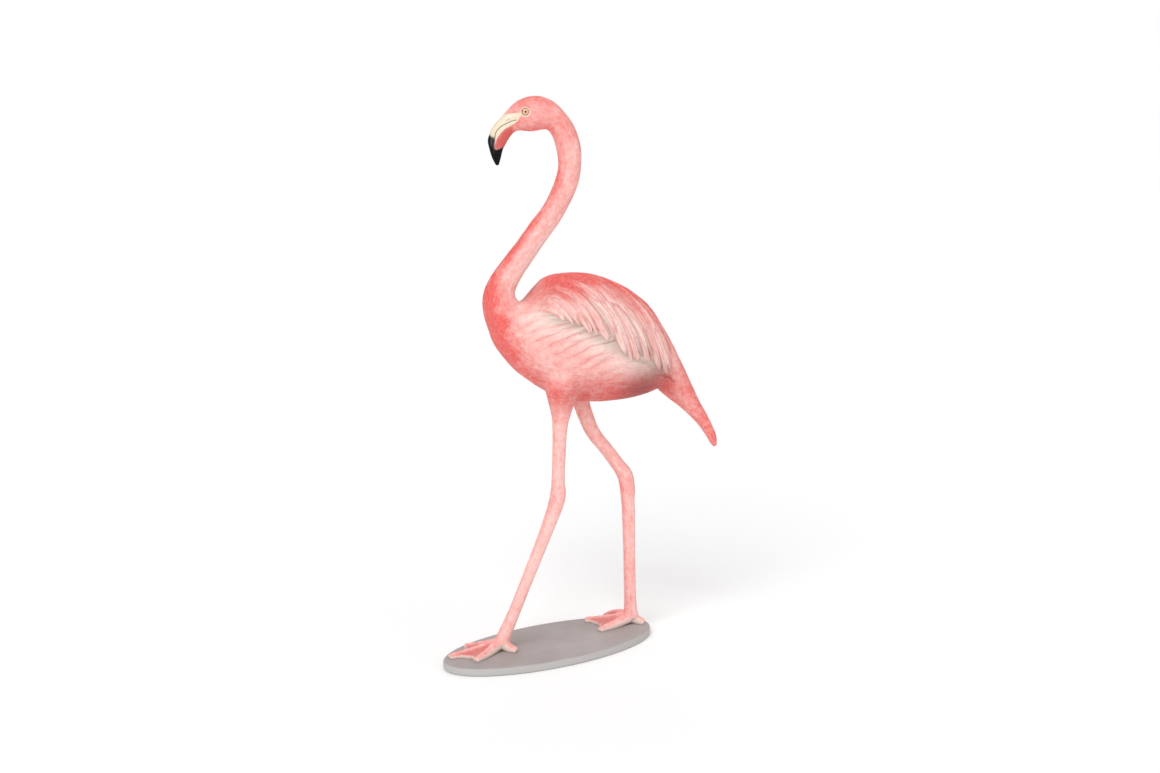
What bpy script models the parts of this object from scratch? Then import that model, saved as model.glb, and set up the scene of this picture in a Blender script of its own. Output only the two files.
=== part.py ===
# Walking flamingo, a life-size painted resin casting that stands on an oval plate.
# Metres, +Z up. The origin is the centre of the plate's underside. The bird walks along -X.
import math

import bmesh
import bpy
import numpy as np
from mathutils import Vector

# Driving sizes of the plate.
plate_length = 0.556
plate_width = 0.240
plate_thickness = 0.020
plate_edge_radius = 0.005
plate_turn_deg = 17.0  # its long axis follows the line from the front foot to the rear foot
plate_sides = 64

# Driving sizes of the bird.
bird_height = 1.280  # soles to crown
bird_side = 0.030  # the body's middle plane lies this far to the bird's right of the plate's centre
sole_gap = 0.0003  # clearance under the soles

# The figure is drawn in millimetres for a bird 1280 mm tall: x runs back from the plate's centre,
# z runs up from the soles, and y runs out from the bird's middle plane.
drawn_height = 1280.0
mm = bird_height / drawn_height

# Each row is one section through the bird, from bill tip to tail tip: the point on the back line
# (x, z), the point on the front and belly line (x, z), and half the width across.
bill_sections = [
    (-110, 1126, -107, 1126, 3),
    (-121, 1145, -102, 1144, 6.5),
    (-128, 1165, -96, 1163, 9),
    (-131, 1184, -89, 1176, 11),
    (-124, 1204, -79, 1192, 13),
    (-113, 1221, -67, 1202, 15.5),
]
head_sections = [
    (-100, 1234, -54, 1204, 18.5),
    (-84, 1251, -42, 1203, 22),
    (-65, 1268, -31, 1202, 25.5),
    (-40, 1279, -19, 1203, 28),
    (-10, 1280, -6, 1206, 29),
    (22, 1267, 7, 1205, 28.5),
    (50, 1240, 18, 1192, 28),
]
neck_sections = [
    (71, 1208, 26, 1171, 28),
    (83, 1171, 31, 1145, 27),
    (85, 1130, 32, 1117, 27),
    (76, 1078, 21, 1081, 27.5),
    (39, 1006, -1, 1037, 27),
    (10, 966, -33, 996, 28),
    (-20, 925, -64, 955, 29.5),
    (-51, 881, -97, 915, 32),
    (-69, 850, -126, 876, 36),
    (-72, 833, -143, 841, 42),
]
body_sections = [
    (-67, 821, -146, 803, 50),
    (-58, 815, -137, 764, 60),
    (-48, 817, -122, 721, 70),
    (-36, 829, -99, 687, 78),
    (-24, 846, -71, 655, 85),
    (-10, 862, -38, 628, 91),
    (8, 873, -2, 604, 96),
    (36, 878, 32, 587, 100),
    (72, 879, 68, 577, 102),
    (106, 875, 107, 573, 103),
    (138, 866, 145, 573, 102),
    (168, 853, 180, 575, 99),
    (197, 838, 212, 579, 94),
    (225, 817, 238, 585, 85),
    (250, 793, 256, 591, 77),
    (271, 763, 267, 595, 69),
]
tail_sections = [
    (289, 735, 272, 595, 60),
    (306, 705, 280, 588, 51),
    (321, 676, 289, 580, 43),
    (336, 646, 301, 570, 36),
    (351, 614, 318, 557, 30),
    (366, 584, 338, 540, 25),
    (381, 555, 358, 521, 20),
    (397, 527, 377, 500, 16),
    (411, 499, 394, 477, 12.5),
    (422, 474, 407, 455, 9.5),
    (425, 449, 416, 444, 5),
]
keel = 0.14  # how much narrower the breast and belly are below the middle than above it
ring_step = 5.0  # drawn millimetres between rings of the body
ring_points = 96

# Legs: x, distance from the middle plane, z, and radius, from inside the body down to the foot.
left_leg = [
    (42, -42, 660, 46),
    (37, -43, 622, 37),
    (31, -44, 590, 28),
    (26, -44, 558, 21.5),
    (23, -44, 520, 17.4),
    (21, -44, 470, 15.8),
    (19, -45, 425, 15.2),
    (18, -45, 392, 16.0),
    (18, -45, 366, 18.6),
    (12, -46, 340, 18.0),
    (-2, -47, 302, 16.3),
    (-25, -48, 245, 14.8),
    (-61, -50, 160, 14.0),
    (-91, -52, 89, 14.2),
    (-112, -53, 42, 16.0),
    (-122, -54, 16, 19.0),
]
right_leg = [
    (80, 38, 650, 37),
    (89, 39, 602, 27),
    (99, 40, 555, 20),
    (125, 41, 490, 17.0),
    (160, 42, 444, 16.0),
    (189, 43, 404, 16.5),
    (207, 43, 376, 19.0),
    (213, 43, 345, 18.2),
    (215, 44, 310, 16.4),
    (217, 44, 273, 15.6),
    (219, 45, 197, 14.8),
    (221, 45, 106, 14.5),
    (223, 45, 48, 15.5),
    (225, 45, 16, 19.0),
]
leg_bevel_resolution = 4

# Feet: toe length and the angle of the toe outwards from the foot's own heading.
foot_parts = {
    "left": {"at": (-124, -54), "side": -1, "turn_deg": 12, "outer_lift": 0,
             "outer": (97, 29), "middle": (131, 0), "inner": (86, -34), "hind": (42, 128)},
    "right": {"at": (226, 45), "side": 1, "turn_deg": 20, "outer_lift": 13,
              "outer": (76, 25), "middle": (115, 0), "inner": (101, -43), "hind": (32, 186)},
}
toe_root = (17.0, 12.5)  # height of the toe's centre line and its radius at the ankle
toe_knuckle = (10.0, 9.0)
toe_tip = (6.5, 6.5)
knuckle_share = 0.55
web_height = 10.0
web_reach = 0.93  # share of the toe's length that the web reaches
web_sag = 0.90  # how far the web's front edge curves in between two toes

# Wing: the lower edge in side view, x and z, from the shoulder to the wing's end.
wing_edge = [
    (-62, 826), (-39, 809), (-25, 798), (17, 784), (51, 772), (102, 741),
    (143, 716), (178, 691), (218, 676), (248, 659), (275, 646), (296, 631),
]
wing_front, wing_rear = -34.0, 296.0
wing_rise = 6.0
lock_spacing = 24.0
lock_rise = 5.5
tip_drop = 18.0  # how far the tip of each feather lock hangs below the edge between two tips
sweep_reach, sweep_fall = 112.0, 40.0  # how far a lock sweeps back, and over what drop
sweep_start, sweep_slope = 60.0, 0.25  # below this drop it goes on sweeping back at this slope

# Flank: feather locks that sweep up and back until they pass under the wing.
flank_spacing = 30.0
flank_rise = 3.2
flank_from = (-83.0, 766.0)  # where the foremost lock starts
flank_fall = 0.395  # slope of the line that the locks start on
flank_sweep = [(-60, -24), (0, 0), (42, 17), (81, 27), (125, 30)]  # run and rise along one lock
flank_depth = 120.0  # how far below the wing the locks die out

# Finish of the casting's form.
voxel = 3.2
smoothing_count = 2
triangle_target = 8900
sole_sink = 4.0  # the feet are made this much too deep and trimmed flat


def through(points, per_span):
    """Smooth curve through points, as an array with per_span steps for each span."""
    pts = np.array(points, float)
    padded = np.vstack([2 * pts[0] - pts[1], pts, 2 * pts[-1] - pts[-2]])
    made = []
    for i in range(len(pts) - 1):
        p0, p1, p2, p3 = padded[i:i + 4]
        steps = max(1, int(per_span[i] if isinstance(per_span, list) else per_span))
        for t in np.arange(steps) / steps:
            made.append(0.5 * (2 * p1 + (p2 - p0) * t + (2 * p0 - 5 * p1 + 4 * p2 - p3) * t * t
                               + (3 * p1 - p0 - 3 * p2 + p3) * t ** 3))
    made.append(pts[-1])
    return np.array(made)


def ease(value, low, high):
    t = np.clip((value - low) / (high - low), 0, 1)
    return t * t * (3 - 2 * t)


def ridge(phase):
    """One rounded ridge for each whole step of the phase, 0 in the grooves and 1 on the crests."""
    return 1 - np.abs(2 * (phase - np.floor(phase)) - 1)


def feather_relief(x, z, back_x, back_z):
    """Height in drawn millimetres that wing and flank stand out at a point of the side view."""
    drop = np.interp(x, back_x, back_z) - z
    across = x - sweep_reach * (1 - np.exp(-np.maximum(drop - 4, 0) / sweep_fall))
    across -= sweep_slope * np.maximum(drop - sweep_start, 0)
    crest = ridge(across / lock_spacing)
    edge = np.interp(x, *zip(*wing_edge)) - tip_drop * (crest - 0.5)
    ends = ease(x, wing_front - 30, wing_front + 50) * ease(-x, -wing_rear, -wing_rear + 14)
    inside = ease(z, edge - 2, edge + 4) * ends
    near_edge = 1 - ease(z, edge + 5, edge + 130)
    top_fade = ease(drop, 10, 50)
    wing = inside * top_fade * (wing_rise * (0.4 + 0.6 * near_edge) + lock_rise * np.sqrt(crest))
    run, rise = np.array(flank_sweep, float).T
    start_x, start_z = flank_from
    off_line = z - start_z + flank_fall * (x - start_x)
    along = np.interp(off_line, rise + flank_fall * run, run)
    lock = ridge((x - start_x - along) / flank_spacing)
    fade = ease(z, edge - flank_depth, edge - 25) * ease(x, -95, -30) * ease(-x, -270, -200)
    return wing + (1 - inside) * fade * flank_rise * np.sqrt(lock)


def clear_scene():
    for obj in list(bpy.data.objects):
        bpy.data.objects.remove(obj, do_unlink=True)


def collection(name, shown=True):
    made = bpy.data.collections.new(name)
    bpy.context.scene.collection.children.link(made)
    made.hide_render = not shown
    return made


def material(name, colour, roughness, metallic=0.0):
    made = bpy.data.materials.new(name)
    made.use_nodes = True
    shader = made.node_tree.nodes["Principled BSDF"]
    shader.inputs["Base Color"].default_value = (*colour, 1)
    shader.inputs["Roughness"].default_value = roughness
    shader.inputs["Metallic"].default_value = metallic
    return made


def add(name, data, into):
    obj = bpy.data.objects.new(name, data)
    into.objects.link(obj)
    return obj


def lofted_bird(into):
    """Bill, head, neck, body and tail as one loft of rings between the back line and the belly line."""
    sections = bill_sections + head_sections + neck_sections + body_sections + tail_sections
    middles = [((s[0] + s[2]) / 2, (s[1] + s[3]) / 2) for s in sections]
    outer = [max(math.dist(a[:2], b[:2]), math.dist(a[2:4], b[2:4])) for a, b in zip(sections, sections[1:])]
    rings = through(sections, [length / ring_step for length in outer])
    back = [s for s in body_sections + tail_sections if s[0] > -55]
    back_x, back_z = [s[0] for s in back], [s[1] for s in back]
    turn = np.linspace(0, 2 * math.pi, ring_points, endpoint=False)
    bm = bmesh.new()
    made = []
    for xd, zd, xv, zv, half in rings:
        up, side = np.sin(turn), np.cos(turn)
        broad = 1 - keel * (1 - ease(up, -1, 0.3)) * ease(half, 45, 90)
        x = (xd + xv) / 2 + up * (xd - xv) / 2
        z = (zd + zv) / 2 + up * (zd - zv) / 2
        y = side * half * broad
        outward = np.sign(side) * np.sqrt(np.abs(side))
        y = y + outward * feather_relief(x, z, back_x, back_z)
        made.append([bm.verts.new(Vector(p) * mm) for p in zip(x, y, z)])
    for ring, after in zip(made, made[1:]):
        for k in range(ring_points):
            n = (k + 1) % ring_points
            bm.faces.new((ring[k], ring[n], after[n], after[k]))
    bm.faces.new(made[0])
    bm.faces.new(list(reversed(made[-1])))
    bmesh.ops.recalc_face_normals(bm, faces=bm.faces)
    mesh = bpy.data.meshes.new("loft")
    bm.to_mesh(mesh)
    bm.free()
    return add("loft", mesh, into)


def tube(name, points, into, resolution=3):
    """A tapered round limb: points are (x, y, z, radius) in drawn millimetres."""
    curve = bpy.data.curves.new(name, "CURVE")
    curve.dimensions = "3D"
    curve.bevel_depth = mm
    curve.bevel_resolution = resolution
    curve.use_fill_caps = True
    line = through(points, 4)
    spline = curve.splines.new("POLY")
    spline.points.add(len(line) - 1)
    for point, (x, y, z, radius) in zip(spline.points, line):
        point.co = (x * mm, y * mm, z * mm, 1)
        point.radius = radius
    return add(name, curve, into)


def foot(name, parts, into):
    """Four toes as tapered tubes, and the web between the front three as a flat plate."""
    ax, ay = parts["at"]

    def reach(length, angle_deg):
        heading = math.radians((angle_deg + parts["turn_deg"]) * parts["side"])
        return ax - length * math.cos(heading), ay + length * math.sin(heading)

    pieces = []
    for toe in ("outer", "middle", "inner", "hind"):
        length, angle = parts[toe]
        row = []
        for share, (height, radius) in ((0.0, toe_root), (knuckle_share, toe_knuckle), (1.0, toe_tip)):
            x, y = reach(length * share, angle)
            lift = parts["outer_lift"] if toe == "outer" and share == knuckle_share else 0
            row.append((x, y, height + lift - (sole_sink if share else 0), radius))
        pieces.append(tube(f"{name}_{toe}", row, into))
    edge = [(0, 0)]
    front = [parts["outer"], parts["middle"], parts["inner"]]
    for (length, angle), (after, after_angle) in zip(front, front[1:]):
        edge.append((length * web_reach, angle))
        half_gap = math.radians((angle - after_angle) / 2)
        chord = (length + after) / 2 * math.cos(half_gap)
        edge.append((chord * web_reach * web_sag, (angle + after_angle) / 2))
    edge.append((front[-1][0] * web_reach, front[-1][1]))
    outline = [reach(length, angle) for length, angle in edge]
    curve = bpy.data.curves.new(f"{name}_web", "CURVE")
    curve.dimensions = "2D"
    curve.fill_mode = "BOTH"
    curve.extrude = (web_height + sole_sink) / 2 * mm
    spline = curve.splines.new("POLY")
    spline.points.add(len(outline) - 1)
    for point, (x, y) in zip(spline.points, outline):
        point.co = (x * mm, y * mm, 0, 1)
    spline.use_cyclic_u = True
    web = add(f"{name}_web", curve, into)
    web.location.z = (web_height - sole_sink) / 2 * mm
    return pieces + [web]


def as_mesh(obj, into):
    """A curve's own shape as a welded mesh object in its place."""
    bpy.context.view_layer.update()
    graph = bpy.context.evaluated_depsgraph_get()
    mesh = bpy.data.meshes.new_from_object(obj.evaluated_get(graph))
    mesh.transform(obj.matrix_world)
    bm = bmesh.new()
    bm.from_mesh(mesh)
    bmesh.ops.remove_doubles(bm, verts=bm.verts, dist=1e-5)
    bmesh.ops.recalc_face_normals(bm, faces=bm.faces)
    bm.to_mesh(mesh)
    bm.free()
    name = obj.name
    bpy.data.objects.remove(obj)
    return add(f"{name}_form", mesh, into)


def fused(name, pieces, into):
    """All the forms in one mesh, run together into one skin as a sculptor's clay is."""
    bm = bmesh.new()
    for piece in pieces:
        bm.from_mesh(piece.data)
        bpy.data.objects.remove(piece)
    mesh = bpy.data.meshes.new(name)
    bm.to_mesh(mesh)
    bm.free()
    obj = add(name, mesh, into)
    skin = obj.modifiers.new("skin", "REMESH")
    skin.mode = "VOXEL"
    skin.voxel_size = voxel * mm
    ease_out = obj.modifiers.new("ease_out", "SMOOTH")
    ease_out.factor = 0.5
    ease_out.iterations = smoothing_count
    bpy.context.view_layer.update()
    graph = bpy.context.evaluated_depsgraph_get()
    fine = obj.evaluated_get(graph).to_mesh()
    fine.calc_loop_triangles()
    share = triangle_target / len(fine.loop_triangles)
    obj.evaluated_get(graph).to_mesh_clear()
    coarse = obj.modifiers.new("coarse", "DECIMATE")
    coarse.ratio = min(1.0, share)
    coarse.use_collapse_triangulate = True
    return obj


def trimmed(obj, cutters):
    """Cuts the soles flat at the bird's own zero height."""
    bpy.ops.mesh.primitive_cube_add(size=1)
    cutter = bpy.context.object
    cutter.name = "sole_cutter"
    for owner in list(cutter.users_collection):
        owner.objects.unlink(cutter)
    cutters.objects.link(cutter)
    reach, depth = 2 * bird_height, 4 * sole_sink * mm
    for vertex in cutter.data.vertices:
        vertex.co = Vector((vertex.co.x * reach, vertex.co.y * reach, (vertex.co.z - 0.5) * depth))
    cutter.location = obj.location
    cutter.display_type = "WIRE"
    cutter.hide_render = True
    cut = obj.modifiers.new("soles", "BOOLEAN")
    cut.operation = "DIFFERENCE"
    cut.object = cutter
    cut.solver = "EXACT"


def plate(into):
    """Oval plate with eased edges."""
    bm = bmesh.new()
    bmesh.ops.create_cone(bm, cap_ends=True, segments=plate_sides, radius1=0.5, radius2=0.5, depth=plate_thickness)
    for vertex in bm.verts:
        vertex.co.x *= plate_length
        vertex.co.y *= plate_width
    mesh = bpy.data.meshes.new("oval_plate")
    bm.to_mesh(mesh)
    bm.free()
    obj = add("oval_plate", mesh, into)
    obj.location.z = plate_thickness / 2
    obj.rotation_euler.z = math.radians(plate_turn_deg)
    eased = obj.modifiers.new("eased_edge", "BEVEL")
    eased.width = min(plate_edge_radius, 0.45 * plate_thickness)
    eased.segments = 2
    eased.limit_method = "ANGLE"
    eased.angle_limit = math.radians(45)
    return obj


def main():
    clear_scene()
    shown = collection("walking_flamingo")
    cutters = collection("cutters", shown=False)
    forms = [lofted_bird(shown)]
    curves = [
        tube("left_leg", left_leg, shown, leg_bevel_resolution),
        tube("right_leg", right_leg, shown, leg_bevel_resolution),
    ]
    for side, parts in foot_parts.items():
        curves += foot(f"{side}_foot", parts, shown)
    forms += [as_mesh(curve, shown) for curve in curves]
    bird = fused("flamingo", forms, shown)
    bird.location = (0, bird_side, plate_thickness + sole_gap)
    trimmed(bird, cutters)
    bird.data.materials.append(material("painted_resin_pink", (0.86, 0.36, 0.34), 0.55))
    base = plate(shown)
    base.data.materials.append(material("painted_resin_grey", (0.43, 0.39, 0.39), 0.6))


main()
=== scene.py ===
import math

import bmesh
import bpy
import numpy as np
from mathutils import Matrix, Vector
from mathutils.kdtree import KDTree


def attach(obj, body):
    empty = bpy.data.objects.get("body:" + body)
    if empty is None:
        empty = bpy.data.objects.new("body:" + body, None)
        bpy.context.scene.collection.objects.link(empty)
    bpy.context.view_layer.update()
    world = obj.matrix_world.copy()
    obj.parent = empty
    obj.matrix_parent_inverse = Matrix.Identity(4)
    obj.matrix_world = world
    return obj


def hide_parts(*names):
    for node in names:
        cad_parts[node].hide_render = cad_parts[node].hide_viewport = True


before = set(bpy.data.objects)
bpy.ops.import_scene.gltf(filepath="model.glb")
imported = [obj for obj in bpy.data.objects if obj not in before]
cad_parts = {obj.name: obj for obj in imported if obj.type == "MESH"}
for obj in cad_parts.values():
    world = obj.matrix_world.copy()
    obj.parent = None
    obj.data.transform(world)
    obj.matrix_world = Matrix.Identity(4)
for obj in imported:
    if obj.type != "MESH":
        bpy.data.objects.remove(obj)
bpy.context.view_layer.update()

# Walking flamingo, hand-painted polyresin casting on an oval plate. The figure is drawn in
# millimetres for a bird 1280 mm tall: x runs back from the plate's centre, z up from the soles,
# and y out from the bird's middle plane, its own left being -y.


# Small tools.

def ease(value, low, high):  # 0 at low, 1 at high; it falls where low is the larger
    t = np.clip((value - low) / (high - low), 0, 1)
    return t * t * (3 - 2 * t)


def within(value, low, full, fade, high):  # 1 between full and fade, 0 below low and above high
    return ease(value, low, full) * ease(value, high, fade)


def bell(offset, width):  # 1 in the middle, fading out over about twice the width
    return np.exp(-(offset / width) ** 2)


def throughPoints(points, perSpan):  # a smooth line through the rows, so many steps to each span
    pts = np.array(points, float)
    padded = np.vstack([2 * pts[0] - pts[1], pts, 2 * pts[-1] - pts[-2]])
    made = []
    for i, steps in enumerate(np.broadcast_to(perSpan, len(pts) - 1)):
        p0, p1, p2, p3 = padded[i:i + 4]
        steps = max(1, int(steps))
        for t in np.arange(steps) / steps:
            made.append(0.5 * (2 * p1 + (p2 - p0) * t + (2 * p0 - 5 * p1 + 4 * p2 - p3) * t * t
                               + (3 * p1 - p0 - 3 * p2 + p3) * t ** 3))
    made.append(pts[-1])
    return np.array(made)


def lineRun(points):  # the way along a line to each of its points
    return np.concatenate([[0], np.cumsum(np.linalg.norm(np.diff(points, axis=0), axis=1))])


def softNoise(cells, seed):  # 0 to 1, one value per row, even and repeatable
    low = np.floor(cells).astype(np.int64)
    part = ease(cells - low, 0, 1)
    total = np.zeros(len(cells))
    for corner in range(2 ** cells.shape[1]):
        weight = np.ones(len(cells))
        key = np.full(len(cells), seed * 7919, np.int64)
        for axis, prime in enumerate((73856093, 19349663, 83492791)):
            high = (corner >> axis) & 1
            weight = weight * (part[:, axis] if high else 1 - part[:, axis])
            key = key + (low[:, axis] + high) * prime
        key = (key ^ (key >> 13)) & 0xFFFFFFFF
        key = (key * 1274126177) & 0xFFFFFFFF
        key = ((key ^ (key >> 16)) * 668265263) & 0xFFFFFFFF
        total += weight * (key / 0xFFFFFFFF)
    return total


def noiseAt(a, b, c, seed):
    return softNoise(np.stack([a, b, c], 1), seed)


def lineDistance(x, z, line, closed=False):  # nearest distance, and where along the line
    best = np.full(len(x), 1e9)
    where = np.zeros(len(x))
    run = 0.0
    corners = line + line[:1] if closed else line
    for (ax, az), (bx, bz) in zip(corners, corners[1:]):
        dx, dz = bx - ax, bz - az
        length = math.hypot(dx, dz)
        t = np.clip(((x - ax) * dx + (z - az) * dz) / length ** 2, 0, 1)
        gap = np.hypot(x - ax - t * dx, z - az - t * dz)
        nearer = gap < best
        best = np.where(nearer, gap, best)
        where = np.where(nearer, run + t * length, where)
        run += length
    return best, where


def patchDepth(x, z, outline):  # how deep inside the outline a point lies, less than 0 outside
    gap, _ = lineDistance(x, z, outline, closed=True)
    inside = np.zeros(len(x), bool)
    for (ax, az), (bx, bz) in zip(outline, outline[1:] + outline[:1]):
        reach = (bx - ax) * (z - az) / ((bz - az) or 1e-9) + ax
        inside ^= ((az > z) != (bz > z)) & (x < reach)
    return np.where(inside, gap, -gap)


def nearestOf(points, targets):  # the nearest target's index and its distance
    tree = KDTree(len(targets))
    for i, target in enumerate(targets):
        tree.insert(target[:3], i)
    tree.balance()
    found = [tree.find(point) for point in points]
    return np.array([hit[1] for hit in found]), np.array([hit[2] for hit in found])


def newObject(name, data):
    made = bpy.data.objects.new(name, data)
    bpy.context.scene.collection.objects.link(made)
    return made


def readPoints(mesh, key="co"):
    flat = np.empty(len(mesh.vertices) * 3)
    mesh.vertices.foreach_get(key, flat)
    return flat.reshape(-1, 3)


def writePoints(mesh, points):
    mesh.vertices.foreach_set("co", points.ravel())
    mesh.update()


def outwards(mesh, merge=0.0):  # doubles merged, faces turned outwards
    bm = bmesh.new()
    bm.from_mesh(mesh)
    if merge:
        bmesh.ops.remove_doubles(bm, verts=bm.verts, dist=merge)
    bmesh.ops.recalc_face_normals(bm, faces=bm.faces)
    bm.to_mesh(mesh)
    bm.free()
    return mesh


def plainMesh(piece, name):  # what the modifiers make, as a mesh of its own
    bpy.context.view_layer.update()
    graph = bpy.context.evaluated_depsgraph_get()
    mesh = bpy.data.meshes.new_from_object(piece.evaluated_get(graph))
    mesh.name = name
    bpy.data.objects.remove(piece)
    return mesh


def addNode(tree, kind, inputs={}, out=0, **settings):  # gives back one output, ready to link
    made = tree.nodes.new(kind)
    for key, value in settings.items():
        setattr(made, key, value)
    for key, value in inputs.items():
        if isinstance(value, bpy.types.NodeSocket):
            tree.links.new(value, made.inputs[key])
        else:
            made.inputs[key].default_value = value
    return made.outputs[out] if made.outputs else None


def startTree(name, sizes):  # a node tree with a named input for each size and for the finish
    tree = bpy.data.node_groups.new(name, "GeometryNodeTree")
    for label, kind in {"Geometry": "Geometry", **sizes, "Finish": "Material"}.items():
        tree.interface.new_socket(label, in_out="INPUT", socket_type="NodeSocket" + kind)
    tree.interface.new_socket("Geometry", in_out="OUTPUT", socket_type="NodeSocketGeometry")
    return tree, tree.nodes.new("NodeGroupInput").outputs


def endTree(tree, source, shape):
    real = addNode(tree, "GeometryNodeRealizeInstances", {"Geometry": shape})
    finish = addNode(tree, "GeometryNodeSetMaterial",
                     {"Geometry": real, "Material": source["Finish"]})
    addNode(tree, "NodeGroupOutput", {"Geometry": finish})
    return tree


def growBy(tree, piece, values):  # the tree's inputs take the values of the same names
    grown = piece.modifiers.new("grown", "NODES")
    grown.node_group = tree
    for item in tree.interface.items_tree:
        if item.in_out == "INPUT" and item.name.lower() in values:
            grown[item.identifier] = values[item.name.lower()]


# The casting's main form: one loft from the bill's tip to the tail's.

birdSizes = {
    "height": 1.280,  # metres from the soles to the crown
    "drawnHeight": 1280.0,  # mm, the height that the figure is drawn at
    "side": 0.030,  # the bird's middle plane lies this far to its right of the plate's centre
    "soleHeight": 0.0203,  # the top of the plate and a hair more
    "ringStep": 3.0,  # mm between the loft's rings
    "ringPoints": 160,
    "keel": 0.14,  # how much the belly narrows downwards
    "gridSize": 1.5,  # mm, of the skin that joins loft, legs and feet
    "smoothing": 6,  # rounds over the whole skin
    "rootSmoothing": 70,  # rounds where the legs grow out of the body
    "fineHead": (-12, 1122),  # in front of this x and above this z the faces are cut finer
    "faceLimit": 193000,
}
# One row is one section: back line x, z, then front and belly line x, z, then half the width.
headSections = [
    (-113, 1127, -106, 1127, 3.5), (-122, 1145, -101, 1144, 7), (-128, 1165, -96, 1163, 9),
    (-131, 1184, -89, 1176, 11), (-124, 1204, -79, 1192, 13), (-113, 1221, -67, 1202, 15.5),
    (-100, 1234, -54, 1204, 18.5), (-84, 1251, -42, 1203, 22), (-65, 1268, -31, 1202, 25.5),
    (-40, 1279, -19, 1203, 28), (-10, 1280, -6, 1206, 29), (22, 1267, 7, 1205, 28.5),
    (50, 1240, 18, 1192, 28),
]
neckSections = [
    (71, 1208, 26, 1171, 28), (83, 1171, 31, 1145, 27), (85, 1130, 32, 1117, 27),
    (76, 1078, 21, 1081, 27.5), (39, 1006, -1, 1037, 27), (10, 966, -33, 996, 28),
    (-20, 925, -64, 955, 29.5), (-51, 881, -97, 915, 32), (-69, 850, -126, 876, 36),
    (-72, 833, -143, 841, 42),
]
bodySections = [
    (-67, 821, -146, 803, 50), (-58, 815, -137, 764, 60), (-48, 817, -122, 721, 70),
    (-36, 829, -99, 687, 78), (-24, 846, -71, 655, 85), (-10, 862, -38, 628, 91),
    (8, 873, -2, 604, 96), (36, 878, 32, 587, 100), (72, 879, 68, 577, 102),
    (106, 875, 107, 573, 103), (138, 866, 145, 573, 102), (168, 853, 180, 575, 99),
    (197, 838, 212, 579, 94), (225, 817, 238, 585, 85), (250, 793, 256, 591, 77),
    (271, 763, 267, 595, 69),
]
tailSections = [
    (289, 735, 272, 595, 60), (306, 705, 280, 588, 51), (321, 676, 289, 580, 43),
    (336, 646, 301, 570, 36), (351, 614, 318, 557, 30), (366, 584, 338, 540, 25),
    (381, 555, 358, 521, 20), (397, 527, 377, 500, 16), (411, 499, 394, 477, 12.5),
    (422, 474, 407, 455, 9.5), (425, 449, 416, 444, 5),
]


def loftRings():
    sections = headSections + neckSections + bodySections + tailSections
    steps = [max(math.dist(a[:2], b[:2]), math.dist(a[2:4], b[2:4])) / birdSizes["ringStep"]
             for a, b in zip(sections, sections[1:])]
    rings = throughPoints(sections, steps)
    turn = np.linspace(0, 2 * math.pi, birdSizes["ringPoints"], endpoint=False)
    up, side = np.sin(turn), np.cos(turn)
    rows = []
    for xd, zd, xv, zv, half in rings:
        broad = 1 - birdSizes["keel"] * ease(up, 0.3, -1) * ease(half, 45, 90)
        x = (xd + xv) / 2 + up * (xd - xv) / 2
        z = (zd + zv) / 2 + up * (zd - zv) / 2
        rows.append(np.stack([x, side * half * broad, z], 1))
    centre = (rings[:, 0:2] + rings[:, 2:4]) / 2
    return np.array(rows), turn, lineRun(centre), rings[:, 4]


loftRows, loftTurn, loftRun, loftHalf = loftRings()


def loftBird():
    rings, count = loftRows.shape[:2]
    faces = []
    for r in range(rings - 1):
        for k in range(count):
            n = (k + 1) % count
            faces.append((r * count + k, r * count + n, (r + 1) * count + n, (r + 1) * count + k))
    faces.append(tuple(range(count)))
    faces.append(tuple(reversed(range((rings - 1) * count, rings * count))))
    mesh = bpy.data.meshes.new("loft")
    mesh.from_pydata([tuple(p) for p in loftRows.reshape(-1, 3)], [], faces)
    return outwards(mesh)


def loftFlow(points):  # where points lie on the loft: along, up and across it, and how wide it is
    rings, count = loftRows.shape[:2]
    found, _ = nearestOf(points, loftRows.reshape(-1, 3))
    r, k = found // count, found % count
    before, after = np.maximum(r - 1, 0), np.minimum(r + 1, rings - 1)
    gap = points - loftRows[r, k]
    shares = []
    for step in (loftRows[after, k] - loftRows[before, k],
                 loftRows[r, (k + 1) % count] - loftRows[r, (k - 1) % count]):
        share = (gap * step).sum(1) / np.maximum((step ** 2).sum(1), 1e-6)
        shares.append(np.clip(share, -0.5, 0.5))
    run = loftRun[r] + shares[0] * (loftRun[after] - loftRun[before])
    turn = loftTurn[k] + shares[1] * 2 * (loftTurn[1] - loftTurn[0])
    return run, np.sin(turn), np.cos(turn), np.interp(run, loftRun, loftHalf)


# Feathers: how they flow over the wing and the flank, and the relief they make.

wingShape = {
    "edge": [(-62, 826), (-39, 809), (-25, 798), (17, 784), (51, 772), (102, 741),
             (143, 716), (178, 691), (218, 676), (248, 659), (275, 646), (296, 631)],
    "front": -34.0,
    "rear": 296.0,
    "top": 900.0,
    "rise": 5.5,  # mm that the wing stands out along its lower edge
    "lockRise": 2.4,  # and how much more the middle of each lock does
    "tipLength": 13.0,
    "tipSoft": (-1.8, 3.0),  # mm over which a tip rises from the flank
    "swell": 4.0,  # mm, as are the folds, scales and overlaps after it
    "fold": 1.7,
    "fineFold": 1.05,
    "scale": 1.1,
    "overlap": 1.3,
    "gapDepth": 2.4,  # of the deep gaps between some tips
    "gapWidth": 2.7,
    "sweepReach": 112.0,  # how far the feathers run back while they fall
    "sweepFall": 40.0,
    "sweepStart": 60.0,
    "sweepSlope": 0.25,
    "ridgeSweep": 0.7,  # how far back a feather runs for each mm outwards over the back
    "ridgeWidth": 34.0,
}
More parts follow.
